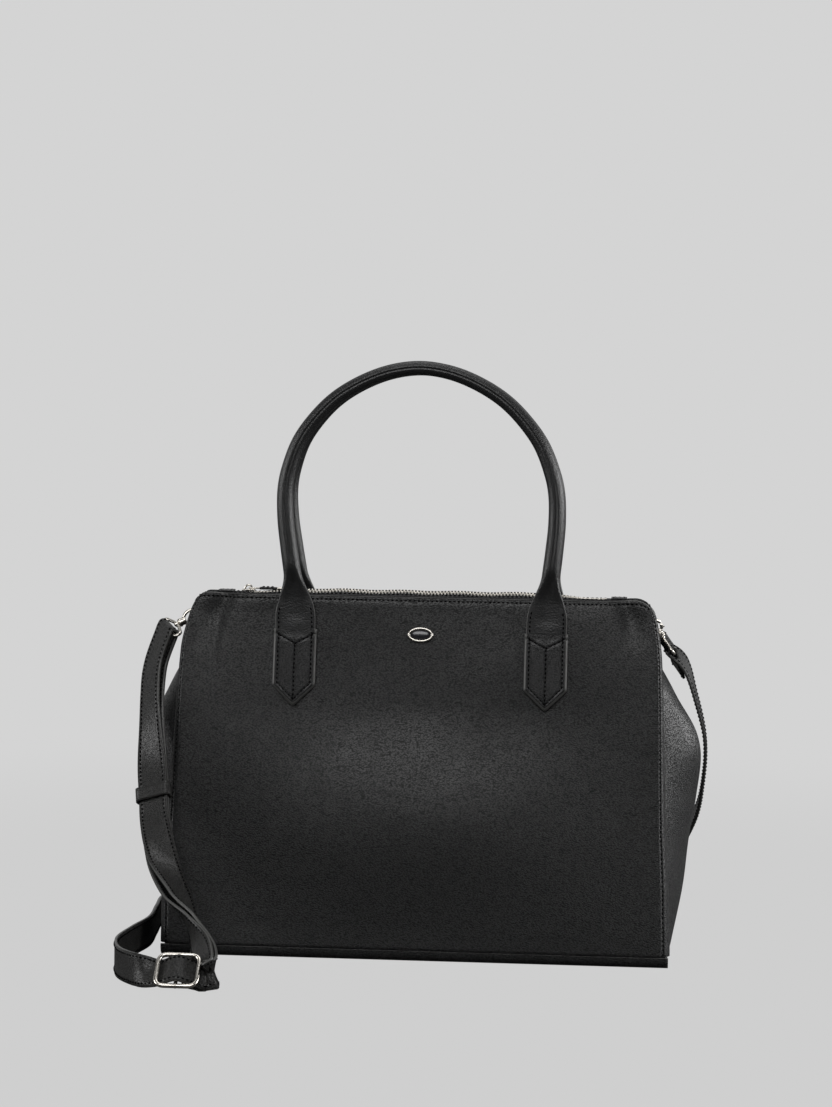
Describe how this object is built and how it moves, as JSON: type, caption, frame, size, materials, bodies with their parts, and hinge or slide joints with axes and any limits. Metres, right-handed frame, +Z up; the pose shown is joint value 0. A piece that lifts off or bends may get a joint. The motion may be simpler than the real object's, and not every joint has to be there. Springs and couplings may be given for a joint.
{
  "type": "shopper bag",
  "caption": "Black faux-leather shopper bag with rolled handles, a metal top zip, side swivel hooks and a clip-on flat shoulder strap resting in front.",
  "frame": {"origin": "centre of the base's underside, on the surface the bag stands on", "axes": "+Z up, the front (with the oval stud) faces -Y, +X to the viewer's right"},
  "size_m": [0.4131, 0.2971, 0.4258],
  "materials": {
    "panel_leather": "black pebbled faux leather, semi-matt",
    "gusset_leather": "black pebbled faux leather, softer and duller",
    "handle_leather": "black faux leather, finely wrinkled, slightly glossy",
    "strap_leather": "black faux leather strap, stitched at both edges",
    "lining_cloth": "dark plain woven lining",
    "board": "grey-brown stiffening board",
    "zip_tape": "black woven tape",
    "zip_metal": "bright nickel-coloured metal teeth",
    "nickel": "polished nickel",
    "stud_face": "plain dark enamel"
  },
  "bodies": {
    "bag": {"front_panel": "panel_leather", "back_panel": "panel_leather", "left_gusset": "gusset_leather", "right_gusset": "gusset_leather", "base_panel": "panel_leather", "base_board": "board", "lining": "lining_cloth", "front_facing": "panel_leather", "back_facing": "panel_leather", "zip_tape_front": "zip_tape", "zip_tape_back": "zip_tape", "zip_teeth_front": "zip_metal", "zip_teeth_back": "zip_metal", "zip_end_left": "handle_leather", "zip_end_right": "handle_leather", "front_tab_left": "handle_leather", "front_tab_right": "handle_leather", "back_tab_left": "handle_leather", "back_tab_right": "handle_leather", "stud_rim": "nickel", "stud_plate": "stud_face", "left_chape": "handle_leather", "right_chape": "handle_leather", "left_eye": "nickel", "right_eye": "nickel", "shoulder_strap": "strap_leather", "buckle": "nickel"},
    "front_handle": {"front_handle": "handle_leather"},
    "back_handle": {"back_handle": "handle_leather"},
    "slider": {"zip_slider": "nickel"},
    "pull": {"pull_link": "nickel", "pull_tag": "handle_leather", "pull_tip": "nickel"},
    "left_ring": {"left_ring": "nickel"},
    "right_ring": {"right_ring": "nickel"},
    "left_hook": {"left_hook": "nickel"},
    "right_hook": {"right_hook": "nickel"},
    "left_gate": {"left_gate": "nickel"},
    "right_gate": {"right_gate": "nickel"},
    "keeper": {"keeper": "strap_leather"}
  },
  "joints": [
    {"name": "front_handle_fold", "type": "hinge", "parent": "bag", "child": "front_handle", "pos_m": [0, -0.0239, 0.2303], "axis": [1, 0, 0], "range_deg": [0, 140]},
    {"name": "back_handle_fold", "type": "hinge", "parent": "bag", "child": "back_handle", "pos_m": [0, 0.0239, 0.2303], "axis": [-1, 0, 0], "range_deg": [0, 140]},
    {"name": "zip_slide", "type": "slide", "parent": "bag", "child": "slider", "axis": [1, 0, 0], "range_m": [0, 0.25], "deforming": ["zip_teeth_front", "zip_teeth_back"]},
    {"name": "pull_turn", "type": "hinge", "parent": "slider", "child": "pull", "pos_m": [-0.12725, 0, 0.2587], "axis": [0, -1, 0], "range_deg": [0, 150]},
    {"name": "left_ring_turn", "type": "hinge", "parent": "bag", "child": "left_ring", "pos_m": [-0.15892, 0, 0.244], "axis": [0, 1, 0], "range_deg": [-8, 8]},
    {"name": "left_hook_swivel", "type": "hinge", "parent": "bag", "child": "left_hook", "pos_m": [-0.17455, -0.00308, 0.23396], "axis": [-0.8304, -0.3542, -0.4302], "range_deg": [-12, 12]},
    {"name": "left_gate_turn", "type": "hinge", "parent": "left_hook", "child": "left_gate", "pos_m": [-0.17157, -0.00247, 0.23173], "axis": [0.3145, -0.9352, 0.1629], "range_deg": [0, 20], "stiffness_Nm_per_rad": 0.01},
    {"name": "right_ring_turn", "type": "hinge", "parent": "bag", "child": "right_ring", "pos_m": [0.15892, 0, 0.244], "axis": [0, 1, 0], "range_deg": [-8, 8]},
    {"name": "right_hook_swivel", "type": "hinge", "parent": "bag", "child": "right_hook", "pos_m": [0.17124, 0.0054, 0.23212], "axis": [0.4508, 0.6211, -0.6411], "range_deg": [-12, 12]},
    {"name": "right_gate_turn", "type": "hinge", "parent": "right_hook", "child": "right_gate", "pos_m": [0.1732, 0.00433, 0.23516], "axis": [0.3572, -0.7837, -0.5081], "range_deg": [0, 20], "stiffness_Nm_per_rad": 0.01},
    {"name": "keeper_slide", "type": "slide", "parent": "bag", "child": "keeper", "axis": [0.1438, -0.5304, -0.8354], "range_m": [-0.008, 0.008]}
  ]
}
